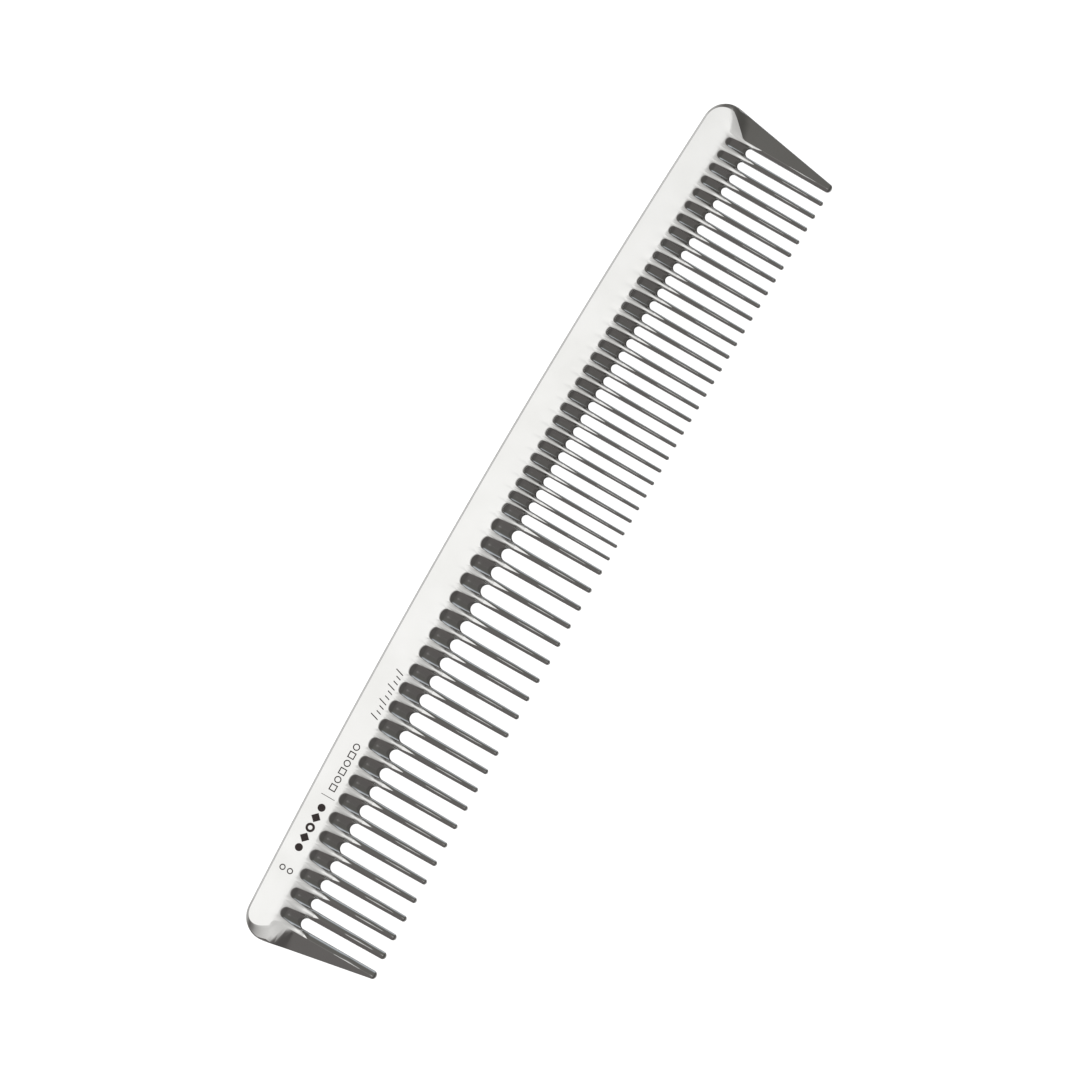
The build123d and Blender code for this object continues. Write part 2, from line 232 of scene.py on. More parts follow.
class End:
    """One end of the comb: its outer edge, its land line, its facet and the ramps above it."""

    def __init__(self, side, guard, lean, ramp_lines):
        low, high = box_mm(guard)
        self.side = side
        self.guard = guard
        self.lean = lean
        self.inner_x = high[0] if side < 0 else low[0]
        self.outer_x = low[0] if side < 0 else high[0]
        self.outer_y = high[1]
        self.ridge_x = self.inner_x + side * FACET_OFFSETS[int(side > 0)]
        self.ramp_lines = ramp_lines
        self.land_line = (LAND_COARSE_TOP, LAND_COARSE_LOW)
        if side > 0:
            self.land_line = tuple((self.edge_x(y) - RIM_FINE_END, y) for y in (BACK_Y, 0.0))

    def edge_x(self, y):
        return self.outer_x + self.side * self.lean * (y - self.outer_y)

    def inside_edge(self, x, y):
        """Distance inwards from the outer edge line."""
        return self.side * (self.edge_x(y) - x) / math.hypot(1.0, self.lean)

    def inside_land(self, x, y):
        """Distance inwards from the line where the land ends."""
        (x0, y0), (x1, y1) = self.land_line
        along = np.array([x0 - x1, y0 - y1]) / math.hypot(x0 - x1, y0 - y1)
        return -self.side * ((x - x1) * along[1] - (y - y1) * along[0])

    def height(self, x, y):
        """Height of the facet, and of the ramps where they are higher."""
        z = rib_height(self.ridge_x, y) - FACET_TILT * self.side * (x - self.ridge_x)
        run = -math.inf
        for (xo, yo), (xi, yi) in self.ramp_lines:
            length = math.hypot(xo - xi, yo - yi)
            downhill = (self.side * abs(yo - yi) / length, -abs(xo - xi) / length)
            run = np.maximum(run, (x - xi) * downhill[0] + (y - yi) * downhill[1])
        return soft_max(z, rib_height(x, y) - RAMP_TILT * run, RAMP_CREASE)


COARSE = End(-1, "coarse_guard_tooth", COARSE_EDGE_LEAN, COARSE_RAMP_LINES)
FINE = End(1, "fine_guard_tooth", FINE_EDGE_LEAN, FINE_RAMP_LINES)


def rounded_corner(a, b, radius):
    """Distance inside two crossing edges whose corner is rounded."""
    outside = np.hypot(np.minimum(a - radius, 0.0), np.minimum(b - radius, 0.0))
    return np.where((a < radius) & (b < radius), radius - outside, np.minimum(a, b))


def back_distance(x, y, depth):
    """Distance inwards from the arch that lies depth below the back."""
    return (ARCH_RADIUS - depth) - np.hypot(x, y - ARCH_CENTRE_Y)


def outline_distance(x, y):
    """Distance inside the comb's outer outline."""
    back = back_distance(x, y, 0.0)
    ends = [
        rounded_corner(back, end.inside_edge(x, y), radius)
        for end, radius in zip((COARSE, FINE), CORNER_RADII)
    ]
    return np.minimum(*ends)


def land_distance(x, y):
    """Distance inside the outline of the land, which is open towards the teeth."""
    back = back_distance(x, y, RIM_BACK)
    ends = [
        rounded_corner(back, end.inside_land(x, y), radius)
        for end, radius in zip((COARSE, FINE), LAND_CORNERS)
    ]
    return np.minimum(*ends)


def plate_height(x, y):
    """Half thickness of land, rim and ribs, as if there were no facets and scoops."""
    beyond_land = np.maximum(-land_distance(x, y), 0.0)
    to_edge = np.maximum(outline_distance(x, y), 0.0)
    drop = RIM_DROP
    for end_drop, (start, stop) in zip(RIM_END_DROPS, RIM_FADES):
        drop = drop + (end_drop - RIM_DROP) * smooth_step((x - start) / (stop - start))
    rim = LAND_Z - drop * beyond_land / (beyond_land + to_edge + 1e-9)
    return soft_min(soft_min(LAND_Z, rib_height(x, y), LAND_CREASE), rim, RIM_CREASE)


def spine_height(x, y):
    """Half thickness of the metal away from the scoops and tooth flanks."""
    z = plate_height(x, y)
    z = np.where(x < 0, soft_min(z, COARSE.height(x, y), FACET_CREASE), z)
    return np.where(x > 0, soft_min(z, FINE.height(x, y), FACET_CREASE), z)


# ---------------------------------------------------------------- teeth and gaps

class Tooth:
    """A tooth or guard, with the centre line that the spine's grid shares."""

    def __init__(self, node):
        low, high = box_mm(node)
        self.node = node
        self.x = (low[0] + high[0]) / 2
        self.base_y = high[1]
        self.tip_y = low[1]
        self.left_x = low[0]
        self.right_x = high[0]
        self.base = high[0] - low[0]
        self.taper = COARSE_TAPER if node.startswith("coarse") else FINE_TAPER
        self.leaf_share = LEAF_SHARE

    def leaf(self, y):
        """Half width of the flat leaf at y, over the half width of the tooth."""
        root = float(arch(self.x, ROOT_DEPTH))
        left = min(max((y - LEAF_END_Y) / (root - LEAF_END_Y), 0.0), 1.0)
        return self.leaf_share * left**LEAF_POWER


class Gap:
    """The space between two neighbours, with its scoop."""

    def __init__(self, left, right):
        self.left, self.right = left, right
        self.x = (left.right_x + right.left_x) / 2
        self.radius = (right.left_x - left.right_x) / 2
        self.root_y = float(arch(self.x, ROOT_DEPTH))
        self.centre_y = self.root_y - self.radius
        coarse = left.node.startswith("coarse")
        share, nose = COARSE_SCOOP if coarse else FINE_SCOOP
        self.top_steps = COARSE_TOP_STEPS if coarse else FINE_TOP_STEPS
        self.scoop_radius = self.radius * share
        self.nose_y = self.root_y + nose
        self.near = [self]

    def across(self, x, y):
        """Distance from the scoop's axis, or from its end where the nose is."""
        return np.hypot(x - self.x, np.maximum(y - self.nose_y, 0.0))

    def floor(self, y):
        """Height of the scoop's floor on its axis."""
        return SCOOP_LIP + SCOOP_RISE * (np.minimum(y, self.nose_y) - self.root_y)

    def outside(self, x, y):
        """Distance outside the scoop's rim."""
        along = np.minimum(y, self.nose_y)
        depth = np.minimum(LAND_Z, rib_height(self.x, along)) - self.floor(along)
        return self.across(x, y) - np.sqrt(depth * (2 * self.scoop_radius - depth))

    def channel(self, x, y):
        """Height of the scoop's round bottom and nose."""
        across = self.across(x, y)
        steepest = self.scoop_radius * SCOOP_WALL_FROM
        reach = np.minimum(across, steepest)
        rise = self.scoop_radius - np.sqrt(self.scoop_radius**2 - reach**2)
        beyond = np.maximum(across - steepest, 0.0) * SCOOP_WALL_SLOPE
        return self.floor(y) + rise + beyond

    def ribs(self, x, y):
        """Height of the land and ribs, dished round this scoop and its neighbours."""
        outside = np.minimum.reduce([gap.outside(x, y) for gap in self.near])
        fade = smooth_step(y - arch(x, ROOT_DEPTH) + DISH_BELOW_ROOTS)
        dish = DISH_SLOPE * np.clip(DISH_WIDTH - outside, 0.0, DISH_WIDTH)
        return spine_height(x, y) - dish * fade


def node_names(prefix):
    return sorted(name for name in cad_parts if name.startswith(prefix))


def make_teeth():
    """Coarse guard, coarse teeth, fine teeth, fine guard."""
    teeth = [Tooth(name) for name in node_names("coarse_tooth") + node_names("fine_tooth")]
    for end in (COARSE, FINE):
        guard = Tooth(end.guard)
        guard.x = end.ridge_x
        guard.leaf_share = GUARD_LEAF_SHARE
        teeth.insert(0 if end.side < 0 else len(teeth), guard)
    return teeth


def make_gaps():
    """The gaps between neighbours; each knows the scoops beside it."""
    gaps = [Gap(left, right) for left, right in zip(TEETH[:-1], TEETH[1:])]
    for left, right in zip(gaps[:-1], gaps[1:]):
        left.near.append(right)
        right.near.append(left)
    return gaps


TEETH = make_teeth()
GAPS = make_gaps()


def scoop_line(gap, start, edge, bulge):
    """Points from start, on a tooth centre line or above the scoop, down over the scoop's rim
    and floor, round the lip at the gap edge, to the mid-plane."""
    length = math.dist(start, edge)
    inward = (edge - start) / length
    low, high = 0.0, length - bulge
    for _ in range(BISECTIONS):
        rim = (low + high) / 2
        p = start + inward * rim
        if gap.channel(p[0], p[1]) < gap.ribs(p[0], p[1]):
            high = rim
        else:
            low = rim
    dish_edge = rim - min(DISH_WIDTH, DISH_LIMIT * rim)
    before_dish = dish_edge - min(DISH_STEP[0], rim * DISH_STEP[1])
    before_rim = rim - min(RIM_STEP_OUT[0], rim * RIM_STEP_OUT[1])
    inner_start = rim + RIM_STEP_IN * min(1.0, length - bulge - rim)
    steps = np.linspace(0.0, 1.0, SCOOP_STEPS + 1) ** SCOOP_SPACING
    inner = inner_start + (length - bulge - inner_start) * steps
    reach = np.concatenate([[0.0, before_dish, dish_edge, before_rim, rim], inner])
    xy = start + np.outer(reach, inward)
    z = soft_min(gap.ribs(xy[:, 0], xy[:, 1]), gap.channel(xy[:, 0], xy[:, 1]), SCOOP_CREASE)
    angle = np.linspace(0.0, math.pi / 2, LIP_STEPS + 1)[1:]
    lip_xy = xy[-1] + np.outer(np.sin(angle) * bulge, inward)
    return np.column_stack([np.vstack([xy, lip_xy]), np.concatenate([z, z[-1] * np.cos(angle)])])


def ridge_wear(share):
    """How far the ridge is worn round, 0 to 1, at a share of the way from base to tip."""
    middle, spread, _ = WORN_RIDGE
    return smooth_step(1.0 - abs(share - middle) / spread)


def ridge_angle(share):
    """Angle at which the crown leaves the ridge."""
    return math.radians(RIDGE_ANGLE - WORN_RIDGE[2] * ridge_wear(share))


def neck_line(start, edge, leaf, first_angle):
    """Half section of a neck or tooth: half its flat leaf, a crowned shoulder, its flank."""
    width = math.dist(start, edge)
    flat = leaf * width
    radius = (width - flat - CROWN_CORNER) / (math.sin(CROWN_ANGLE) - math.sin(first_angle))
    angle = np.linspace(first_angle, CROWN_ANGLE, HALF_STEPS - FLANK_STEPS)
    crown = flat + radius * (np.sin(angle) - math.sin(first_angle))
    reach = np.concatenate([[0.0], crown, np.full(FLANK_STEPS, width)])
    reach[-FLANK_STEPS] -= CROWN_CORNER * CROWN_CORNER_INSET
    xy = start + np.outer(reach / width, edge - start)
    drop = np.concatenate([[0.0], radius * (math.cos(first_angle) - np.cos(angle))])
    z = spine_height(xy[:, 0], xy[:, 1])
    shoulder = z[len(drop) - 1] - drop[-1]
    z[:len(drop)] -= drop
    z[-FLANK_STEPS:] = (shoulder - CROWN_CORNER, shoulder - 2 * CROWN_CORNER, shoulder / 2, 0.0)
    return np.column_stack([xy, z])


def gap_edge(gap, count):
    """Points along the gap's edge, with the bulge that rounds it, in step with the frame."""
    points = []
    for y in np.linspace(gap.left.base_y, gap.centre_y, NECK_STEPS + 1)[:-1]:
        points.append((gap.x - gap.radius, y, FLANK_BULGE))
    for angle in np.linspace(math.pi, 0.0, count - 2 * NECK_STEPS):
        bulge = FLANK_BULGE + (LIP_BULGE - FLANK_BULGE) * math.sin(angle) ** 2
        x = gap.x + gap.radius * math.cos(angle)
        points.append((x, gap.centre_y + gap.radius * math.sin(angle), bulge))
    for y in np.linspace(gap.centre_y, gap.right.base_y, NECK_STEPS + 1)[1:]:
        points.append((gap.x + gap.radius, y, FLANK_BULGE))
    return points


def centre_line_ys(tooth):
    """y of the grid points that two neighbouring cells share on a tooth's centre line."""
    neck_top = float(arch(tooth.x, ROOT_DEPTH)) - 1.0
    land = float(arch(tooth.x, LAND_EDGE_DEPTH))
    top = float(arch(tooth.x, CELL_TOP_DEPTH))
    return np.concatenate([
        np.linspace(tooth.base_y, neck_top, NECK_STEPS + 1)[:-1],
        np.linspace(neck_top, land, SIDE_STEPS + 1)[:-1],
        np.linspace(land, top, ABOVE_LAND_STEPS + 1),
    ])


def cell_frame(gap):
    """Outer points of a gap's cell: up the left centre line, along the top, down the right."""
    left, right = gap.left, gap.right
    points = [(left.x, y) for y in centre_line_ys(left)]
    xs = np.linspace(left.x, right.x, gap.top_steps + 1)
    points += [(x, float(arch(x, CELL_TOP_DEPTH))) for x in xs[1:-1]]
    points += [(right.x, y) for y in centre_line_ys(right)[::-1]]
    return points


def cell_grid(gap):
    """Grid of points over one gap's cell: rows from the frame to the mid-plane at the gap."""
    frame_points = cell_frame(gap)
    turn_from, turn_to = NECK_TURN
    rows = []
    for (x, y), (edge_x, edge_y, bulge) in zip(frame_points, gap_edge(gap, len(frame_points))):
        start, edge = np.array([x, y]), np.array([edge_x, edge_y])
        turned = smooth_step((turn_from - (y + edge_y) / 2 + gap.root_y) / (turn_from - turn_to))
        tooth = gap.left if edge_x < gap.x else gap.right
        neck = neck_line(start, edge, tooth.leaf(y), ridge_angle(0.0)) if turned > 0 else 0.0
        line = scoop_line(gap, start, edge, bulge) if turned < 1 else 0.0
        rows.append(line * (1 - turned) + neck * turned)
    return np.array(rows)


# ---------------------------------------------------------------- mesh making

def clean_loop(ids):
    """The corners of a face without repeats, or nothing where the face has collapsed."""
    loop = [v for i, v in enumerate(ids) if v != ids[i - 1]]
    return loop if len(set(loop)) == len(loop) > 2 else []


class Shell:
    """Collects the upper half of a piece, then makes a closed mesh with its mirror image."""

    def __init__(self):
        self.points = []
        self.index = {}
        self.faces = []
        self.creases = []

    def vertex(self, p):
        """Index of the vertex at p, which is added where there is none."""
        key = tuple(round(value * WELDS_PER_MM) for value in p)
        if key not in self.index:
            self.index[key] = len(self.points)
            self.points.append((p[0], p[1], p[2]))
        return self.index[key]

    def grid(self, rows, flip=False):
        """Adds faces between neighbouring rows of points."""
        ids = [[self.vertex(p) for p in row] for row in rows]
        for row_a, row_b in zip(ids[:-1], ids[1:]):
            for a, b, c, d in zip(row_a[:-1], row_a[1:], row_b[1:], row_b[:-1]):
                loop = clean_loop([a, b, c, d])
                if loop:
                    self.faces.append(loop[::-1] if flip else loop)

    def crease(self, rows, columns):
        """Keeps the lines down these columns sharp. Each row comes after a mark that says
        whether the ridge is worn there, and no line is kept sharp beside a worn row."""
        for (worn_a, row_a), (worn_b, row_b) in zip(rows[:-1], rows[1:]):
            if not (worn_a or worn_b):
                self.creases += [(row_a[i], row_b[i]) for i in columns]

    def mesh(self, name, caps=()):
        """caps: lists of points across a cut, in order, whose upper and lower halves are joined."""
        top = np.array(self.points)
        on_plane = np.abs(top[:, 2]) < 1e-6
        lower_id = np.arange(len(top))
        lower_id[~on_plane] = len(top) + np.arange((~on_plane).sum())
        below = top[~on_plane] * (1, 1, -1)
        faces = self.faces + [[int(lower_id[v]) for v in face[::-1]] for face in self.faces]
        edges = [[self.vertex(p) for p in points] for points in self.creases]
        for points in caps:
            ids = [self.vertex(p) for p in points]
            for a, b in zip(ids[:-1], ids[1:]):
                loop = clean_loop([a, b, int(lower_id[b]), int(lower_id[a])])
                if loop:
                    faces.append(loop)
                edges.append((a, b))
        sharp = {frozenset(edge) for edge in edges}
        sharp |= {frozenset(int(lower_id[v]) for v in edge) for edge in edges}
        vertices = np.vstack([top, below]) + (0, 0, MID_Z)
        mesh = bpy.data.meshes.new(name)
        mesh.from_pydata((vertices * MM).tolist(), [], faces)
        mesh.shade_smooth()
        edge_sharp = mesh.attributes.new("sharp_edge", "BOOLEAN", "EDGE")
        for edge in mesh.edges:
            if frozenset(edge.vertices) in sharp:
                edge_sharp.data[edge.index].value = True
        mesh.validate()
        return mesh


def add_piece(name, mesh, material, *nodes):
    """Puts a mesh in the scene in place of its CAD nodes."""
    piece = bpy.data.objects.new(name, mesh)
    bpy.context.scene.collection.objects.link(piece)
    mesh.materials.append(material)
    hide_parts(*nodes)
    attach(piece, "root")
    return piece


# ---------------------------------------------------------------- spine

def ray_length(distance, start, direction, longest):
    """How far a ray runs before it leaves the region where distance is positive."""
    reach = np.linspace(0.0, longest, RAY_SAMPLES)
    inside = distance(start[0] + direction[0] * reach, start[1] + direction[1] * reach)
    outside = np.nonzero(inside <= 0)[0]
    if len(outside) == 0:
        return longest
    i = outside[0]
    if i == 0:
        return 0.0
    return reach[i - 1] + (reach[i] - reach[i - 1]) * inside[i - 1] / (inside[i - 1] - inside[i])


def side_turn(tooth, y):
    """How far the grid line at y leans towards the corner, beside an end tooth."""
    top = float(arch(tooth.x, CELL_TOP_DEPTH))
    return FAN_TURN * smooth_step((y - top + FAN_RISE) / FAN_RISE)


def ring_starts():
    """Inner points of the ring round the cells, with the direction of each grid line."""
    first, last = TEETH[0], TEETH[-1]
    starts = [((first.x, y), 180.0 - side_turn(first, y)) for y in centre_line_ys(first)]
    corner_turns = np.linspace(FAN_TURN, 90.0 - FAN_TURN, CORNER_STEPS + 1)[1:]
    starts += [(starts[-1][0], 180.0 - turn) for turn in corner_turns]
    for gap in GAPS:
        for x in np.linspace(gap.left.x, gap.right.x, gap.top_steps + 1)[1:]:
            near_left = 1 - smooth_step((x - first.x) / FAN_WIDTH)
            near_right = 1 - smooth_step((last.x - x) / FAN_WIDTH)
            turn = 90.0 + FAN_TURN * (near_left - near_right)
            starts.append(((x, float(arch(x, CELL_TOP_DEPTH))), turn))
    starts += [(starts[-1][0], turn) for turn in corner_turns[::-1]]
    starts += [((last.x, y), side_turn(last, y)) for y in centre_line_ys(last)[::-1][1:]]
    return starts


def outer_line(start, degrees):
    """Points from start outwards over land and rim bevel, or over the facet, round the outer
    edge and down to the mid-plane."""
    direction = np.array([math.cos(math.radians(degrees)), math.sin(math.radians(degrees))])
    out = ray_length(outline_distance, start, direction, LONGEST_RAY)
    roll_y, roll_spread, roll = EDGE_ROLL
    rolled = smooth_step(1.0 - abs(start[1] + out * direction[1] - roll_y) / roll_spread)
    edge_round = EDGE_ROUND + (roll * rolled if abs(direction[0]) > ROLL_FACING else 0.0)
    shoulder = out - edge_round
    land = ray_length(land_distance, start, direction, out)
    end = COARSE if start[0] < 0 else FINE
    facet = ray_length(lambda x, y: end.height(x, y) - plate_height(x, y), start, direction, out)
    first = min(max(min(land, facet), FIRST_LINE), shoulder - BETWEEN_LINES)
    second = max(land, facet, first + BETWEEN_LINES)
    around_first = first + np.array(LAND_END_OFFSETS)
    beyond = np.linspace(first - LAND_END_OFFSETS[0], shoulder - SHOULDER_STEP, RIM_STEPS - 1)
    if second < shoulder - BETWEEN_LINES:
        beyond[1:3] = second - SECOND_LINE_STEP, second + SECOND_LINE_STEP
    reach = np.concatenate([
        np.linspace(0.0, around_first[0], LAND_STEPS + 1)[:-1], around_first, beyond, [shoulder],
    ])
    xy = np.array(start) + np.outer(reach, direction)
    z = spine_height(xy[:, 0], xy[:, 1])
    angle = np.linspace(0.0, math.pi / 2, EDGE_STEPS + 1)[1:]
    edge_xy = xy[-1] + np.outer(edge_round * np.sin(angle), direction)
    edge_z = z[-1] - edge_round * (1 - np.cos(angle))
    wall_z = np.array([edge_z[-1] / 2, 0.0])
    wall_xy = np.repeat(edge_xy[-1:], len(wall_z), axis=0)
    return np.column_stack([np.vstack([xy, edge_xy, wall_xy]), np.concatenate([z, edge_z, wall_z])])


def make_spine(material):
    """The cells of all gaps, the ring round them, and a cap where each tooth is set on."""
    shell = Shell()
    cells = [cell_grid(gap) for gap in GAPS]
    for rows in cells:
        shell.grid(rows)
    ring = [outer_line(start, degrees) for start, degrees in ring_starts()]
    shell.grid(ring, flip=True)
    caps = []
    for left_cell, right_cell in zip(cells[:-1], cells[1:]):
        caps.append(list(left_cell[-1][::-1]) + list(right_cell[0][1:]))
    caps.append(list(ring[0][::-1]) + list(cells[0][0][1:]))
    caps.append(list(cells[-1][-1][::-1]) + list(ring[-1][1:]))
    return add_piece("comb_spine", shell.mesh("comb_spine", caps), material, "spine")


# ---------------------------------------------------------------- teeth

def with_tip(rows, middle, end_y, tip_y):
    """The rows of a tooth, with a round end added."""
    last = rows[-1]
    rounded = list(rows)
    for angle in np.linspace(0.0, math.pi / 2, TIP_STEPS + 1)[1:]:
        shrink = max(math.cos(angle), TIP_SHRINK)
        row = last.copy()
        row[:, 0] = middle + (last[:, 0] - middle) * shrink
        row[:, 1] = end_y - (end_y - tip_y) * math.sin(angle)
        row[:, 2] = last[:, 2] * shrink
        rounded.append(row)
    return rounded


def tooth_rows(tooth, end_y, spacing):
    """y of each row from the base to the start of the tip, and its share of the tooth's length."""
    steps = np.linspace(0.0, 1.0, TOOTH_STEPS + 1) ** spacing
    for y in tooth.base_y + (end_y - tooth.base_y) * steps:
        yield y, (tooth.base_y - y) / (tooth.base_y - tooth.tip_y)


def make_tooth(tooth, material):
    """A tooth: two neck sections that meet at its centre line."""
    shell = Shell()
    end_y = tooth.tip_y + (tooth.base - tooth.taper) / 2
    rows, worn = [], []
    for y, along in tooth_rows(tooth, end_y, TOOTH_SPACING):
        half = (tooth.base - tooth.taper * along) / 2
        start = np.array([tooth.x, y])
        left, right = [
            neck_line(start, start + (side * half, 0), tooth.leaf(y), ridge_angle(along))
            for side in (-1, 1)
        ]
        rows.append(np.vstack([left[::-1], right[1:]]))
        worn.append(ridge_wear(along) > 0)
    middle = len(left) - 1
    shell.crease(list(zip(worn, rows)), (middle - 1, middle + 1))
    rows = with_tip(rows, tooth.x, end_y, tooth.tip_y)
    shell.grid(rows, flip=True)
    mesh = shell.mesh(tooth.node, caps=[rows[0][::-1], rows[-1]])
    return add_piece("shaped_" + tooth.node, mesh, material, tooth.node)


def make_guard(end, tooth, material):
    """A guard: a neck section inwards from the ridge, and the facet outwards from it."""
    shell = Shell()
    end_y = tooth.tip_y + abs(end.edge_x(tooth.tip_y) - end.inner_x) / 2
    outwards = 180.0 if end.side < 0 else 0.0
    rows, worn = [], []
    for y, along in tooth_rows(tooth, end_y, GUARD_SPACING):
        start, edge = np.array([end.ridge_x, y]), np.array([end.inner_x, y])
        inner = neck_line(start, edge, tooth.leaf(y), ridge_angle(along))
        outer = outer_line((end.ridge_x, y), outwards)
        rows.append(np.vstack([inner[::-1], outer[1:]]))
        worn.append(ridge_wear(along) > 0)
    shell.crease(list(zip(worn, rows)), (len(inner) - 2, len(inner) - 1))
    middle = (end.inner_x + end.edge_x(end_y)) / 2
    rows = with_tip(rows, middle, end_y, tooth.tip_y)
    shell.grid(rows, flip=end.side > 0)
    caps = [rows[0][::-1], rows[-1]] if end.side > 0 else [rows[0], rows[-1][::-1]]
    mesh = shell.mesh(tooth.node, caps=caps)
    return add_piece("shaped_" + tooth.node, mesh, material, tooth.node)


# ---------------------------------------------------------------- materials

def new_material(name):
    material = bpy.data.materials.new(name)
    material.use_nodes = True
    return material, material.node_tree, material.node_tree.nodes["Principled BSDF"]


def noise(tree, vector, scale, detail):
    """Noise, 0 to 1, at a vector in metres."""
    node = tree.nodes.new("ShaderNodeTexNoise")
    node.inputs["Scale"].default_value = scale
    node.inputs["Detail"].default_value = detail
    tree.links.new(vector, node.inputs["Vector"])
    return node.outputs["Fac"]


def colour_ramp(tree, stops, value):
    """Colour ramp through (position, colour) stops, read at value."""
    node = tree.nodes.new("ShaderNodeValToRGB")
    ramp = node.color_ramp
    while len(ramp.elements) < len(stops):
        ramp.elements.new(0.5)
    for element, (position, colour) in zip(ramp.elements, stops):
        element.position = position
        element.color = (*colour, 1.0)
    tree.links.new(value, node.inputs["Fac"])
    return node.outputs["Color"]


def polished_steel():
    """Plated, mirror-polished steel: faint hairlines, uneven polish and slight colour drift."""
    material, tree, shader = new_material("polished_steel")
    shader.inputs["Metallic"].default_value = 1.0
    place = tree.nodes.new("ShaderNodeTexCoord").outputs["Object"]
    stretch = tree.nodes.new("ShaderNodeMapping")
    stretch.inputs["Scale"].default_value = (60.0, 2600.0, 2600.0)
    tree.links.new(place, stretch.inputs["Vector"])
    hairlines = noise(tree, stretch.outputs["Vector"], 1.0, 4.0)
    clouds = noise(tree, place, 140.0, 5.0)

    rough = tree.nodes.new("ShaderNodeMapRange")
    rough.inputs["From Min"].default_value = 0.3
    rough.inputs["From Max"].default_value = 0.7
    rough.inputs["To Min"].default_value = 0.05
    rough.inputs["To Max"].default_value = 0.09
    tree.links.new(clouds, rough.inputs["Value"])
    tree.links.new(rough.outputs["Result"], shader.inputs["Roughness"])

    tone = colour_ramp(tree, [(0.3, (0.80, 0.80, 0.79)), (0.75, (0.86, 0.86, 0.855))], clouds)
    tree.links.new(tone, shader.inputs["Base Color"])

    bump = tree.nodes.new("ShaderNodeBump")
    bump.inputs["Strength"].default_value = 0.03
    bump.inputs["Distance"].default_value = 0.00002
    tree.links.new(hairlines, bump.inputs["Height"])
    tree.links.new(bump.outputs["Normal"], shader.inputs["Normal"])
    return material


def ink():
    """Thin printed coat: dark grey-brown, slightly worn."""
    material, tree, shader = new_material("ink")
    place = tree.nodes.new("ShaderNodeTexCoord").outputs["Object"]
    speckle = noise(tree, place, 4000.0, 3.0)
    tone = colour_ramp(tree, [(0.35, (0.075, 0.055, 0.053)), (0.7, (0.15, 0.12, 0.115))], speckle)
    tree.links.new(tone, shader.inputs["Base Color"])
    shader.inputs["Roughness"].default_value = 0.5
    return material


def seen_by_camera(tree):
    """1 for what the camera sees directly, 0 for reflections and bounced light."""
    return tree.nodes.new("ShaderNodeLightPath").outputs["Is Camera Ray"]


def pale_floor():
    """White sheet, as in a cut-out product picture: the steel sees only a faint glow of it."""
    material, tree, shader = new_material("pale_floor")
    shader.inputs["Base Color"].default_value = (0.8, 0.8, 0.8, 1.0)
    shader.inputs["Roughness"].default_value = 0.8
    shader.inputs["Emission Color"].default_value = (1.0, 1.0, 1.0, 1.0)
    glow = tree.nodes.new("ShaderNodeMapRange")
    glow.inputs["To Min"].default_value = FLOOR_GLOW
    tree.links.new(seen_by_camera(tree), glow.inputs["Value"])
    tree.links.new(glow.outputs["Result"], shader.inputs["Emission Strength"])
    return material


# ---------------------------------------------------------------- scene

def make_floor():
    mesh = bpy.data.meshes.new("floor")
    signs = ((-1, -1), (1, -1), (1, 1), (-1, 1))
    corners = [(x * FLOOR_SIZE, y * FLOOR_SIZE, 0) for x, y in signs]
    mesh.from_pydata(corners, [], [(0, 1, 2, 3)])
    floor = bpy.data.objects.new("floor", mesh)
    mesh.materials.append(pale_floor())
    bpy.context.scene.collection.objects.link(floor)


def grey_ramp(tree, stops, value):
    """Ramp through (position, grey) stops, read at value."""
    return colour_ramp(tree, [(position, (grey, grey, grey)) for position, grey in stops], value)


def blend(tree, kind, factor, first, second):
    """Mix of two colours; each input is a socket or a constant."""
    node = tree.nodes.new("ShaderNodeMix")
    node.data_type = "RGBA"
    node.blend_type = kind
    for socket, value in ((0, factor), (6, first), (7, second)):
        if isinstance(value, bpy.types.NodeSocket):
            tree.links.new(value, node.inputs[socket])
        else:
            node.inputs[socket].default_value = value
    return node.outputs[2]


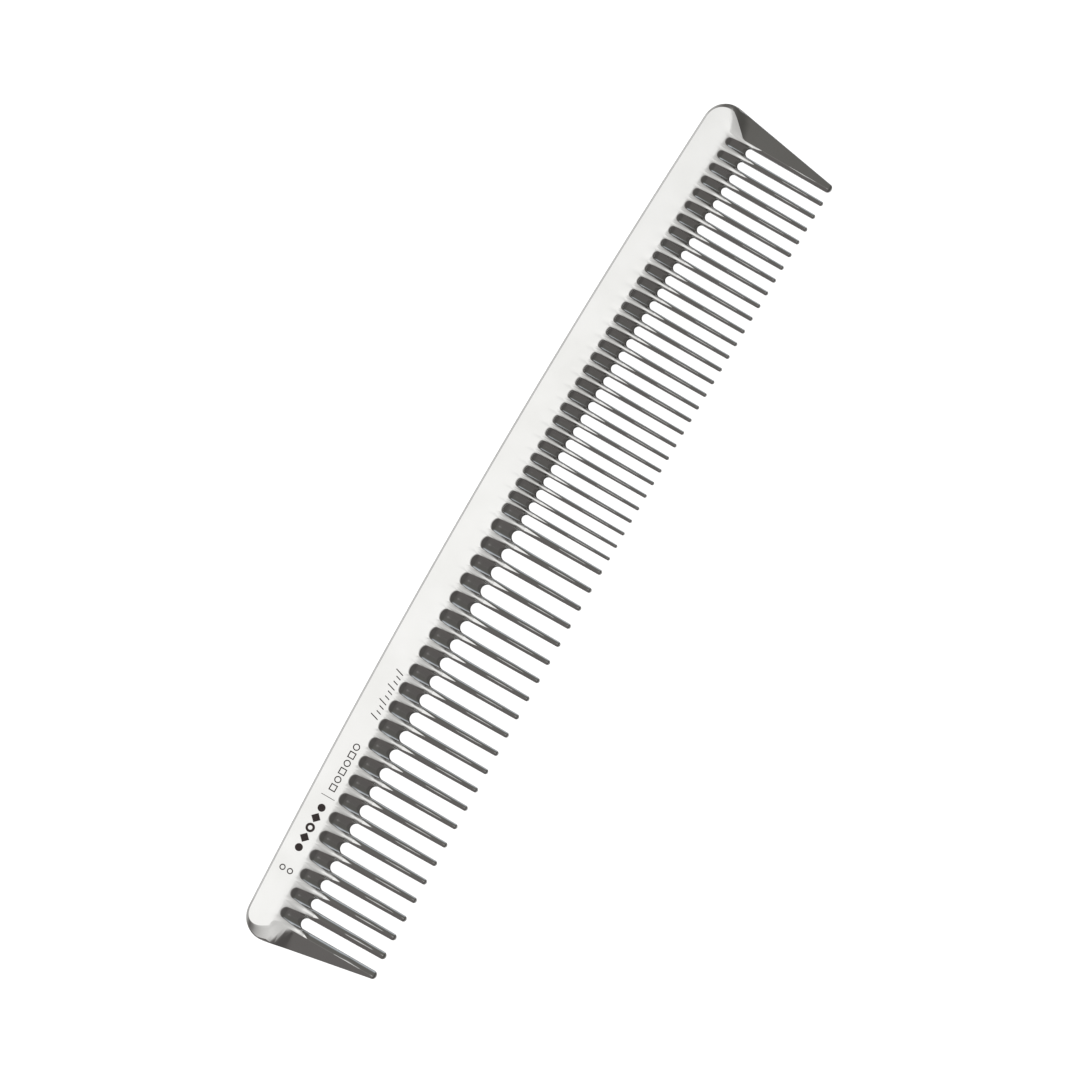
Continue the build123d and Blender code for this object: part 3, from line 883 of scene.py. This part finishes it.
def make_world():
    """Soft studio surroundings: a white card overhead, dark walls, a cool strip light beyond the
    fine end, a low white screen behind the back of the comb and a black flag beside it. Stops on
    x and y run from 0 at -1 to 1 at +1; stops on z are heights above the horizon."""
    world = bpy.data.worlds.new("studio")
    world.use_nodes = True
    bpy.context.scene.world = world
    tree = world.node_tree
    place = tree.nodes.new("ShaderNodeTexCoord")
    split = tree.nodes.new("ShaderNodeSeparateXYZ")
    tree.links.new(place.outputs["Generated"], split.inputs["Vector"])
    x, y, z = (split.outputs[axis] for axis in "XYZ")

    from_minus_one = {}
    for axis, socket in (("x", x), ("y", y)):
        shift = tree.nodes.new("ShaderNodeMapRange")
        shift.inputs["From Min"].default_value = -1.0
        tree.links.new(socket, shift.inputs["Value"])
        from_minus_one[axis] = shift.outputs["Result"]

    walls = colour_ramp(tree, [
        (0.0, (0.13, 0.12, 0.117)),
        (0.3, (0.15, 0.142, 0.138)),
        (0.5, (0.155, 0.147, 0.142)),
        (0.9, (0.137, 0.135, 0.125)),
        (0.96, (0.2, 0.205, 0.215)),
        (1.0, (0.38, 0.4, 0.43)),
    ], from_minus_one["x"])
    front = grey_ramp(tree, [(0.2, 0.6), (0.4, 1.0)], from_minus_one["y"])
    walls = blend(tree, "MULTIPLY", 1.0, walls, front)
    behind = grey_ramp(tree, [(0.62, 0.0), (0.8, 1.0)], from_minus_one["y"])
    walls = blend(tree, "MIX", behind, walls, (0.45, 0.445, 0.435, 1.0))
    screen_height = grey_ramp(tree, [(0.25, 1.0), (0.33, 0.0)], z)
    screen_side = grey_ramp(tree, [(0.85, 0.0), (0.93, 1.0)], from_minus_one["y"])
    screen = blend(tree, "MULTIPLY", 1.0, screen_height, screen_side)
    walls = blend(tree, "MIX", screen, walls, (0.75, 0.75, 0.75, 1.0))
    strip_height = grey_ramp(tree, [(0.02, 0.0), (0.1, 1.0), (0.45, 1.0), (0.58, 0.0)], z)
    strip_side = grey_ramp(tree, [(0.93, 0.0), (0.98, 1.0)], from_minus_one["x"])
    strip = blend(tree, "MULTIPLY", 1.0, strip_height, strip_side)
    walls = blend(tree, "MIX", strip, walls, (0.58, 0.62, 0.66, 1.0))
    flag_stops = [(0.505, 1.0), (0.54, 0.1), (0.63, 0.1), (0.7, 1.0)]
    flag_side = grey_ramp(tree, flag_stops, from_minus_one["y"])
    flag_low = grey_ramp(tree, [(0.3, 0.0), (0.6, 1.0)], z)
    flag = blend(tree, "MIX", flag_low, flag_side, (1.0, 1.0, 1.0, 1.0))
    walls = blend(tree, "MULTIPLY", 1.0, walls, flag)
    card = grey_ramp(tree, [
        (0.9, 0.0), (0.94, 0.1), (0.966, 0.36), (0.978, 0.53), (0.989, 0.68), (0.9935, 0.98),
    ], z)
    card_light = colour_ramp(tree, [
        (0.505, (1.1, 1.095, 1.08)),
        (0.53, (1.0, 0.997, 0.985)),
    ], from_minus_one["x"])
    walls = blend(tree, "MIX", card, walls, card_light)
    colour = blend(tree, "MIX", seen_by_camera(tree), walls, (1.0, 1.0, 1.0, 1.0))
    background = tree.nodes["Background"]
    tree.links.new(colour, background.inputs["Color"])
    background.inputs["Strength"].default_value = 1.0


def make_camera():
    """Looks straight down, with the comb turned 60 degrees in the picture."""
    low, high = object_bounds()
    centre = (Vector(low) + Vector(high)) / 2 + Vector(VIEW_OFFSET) * MM
    camera_data = bpy.data.cameras.new("camera")
    camera = bpy.data.objects.new("camera", camera_data)
    bpy.context.scene.collection.objects.link(camera)
    camera_data.sensor_width = SENSOR
    camera_data.lens = LENS
    camera.location = centre + Vector((0, 0, VIEW_WIDTH * MM * LENS / SENSOR))
    camera.rotation_euler = (0, 0, math.radians(VIEW_TURN))
    camera_data.clip_start = 0.01
    camera_data.clip_end = 20.0
    bpy.context.scene.camera = camera


def main():
    bpy.context.scene.view_settings.view_transform = "Standard"
    make_camera()
    steel = polished_steel()
    make_spine(steel)
    for tooth in TEETH[1:-1]:
        make_tooth(tooth, steel)
    make_guard(COARSE, TEETH[0], steel)
    make_guard(FINE, TEETH[-1], steel)
    print_ink = ink()
    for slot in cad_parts["printed_marks"].material_slots:
        slot.material = print_ink
    make_floor()
    make_world()


main()
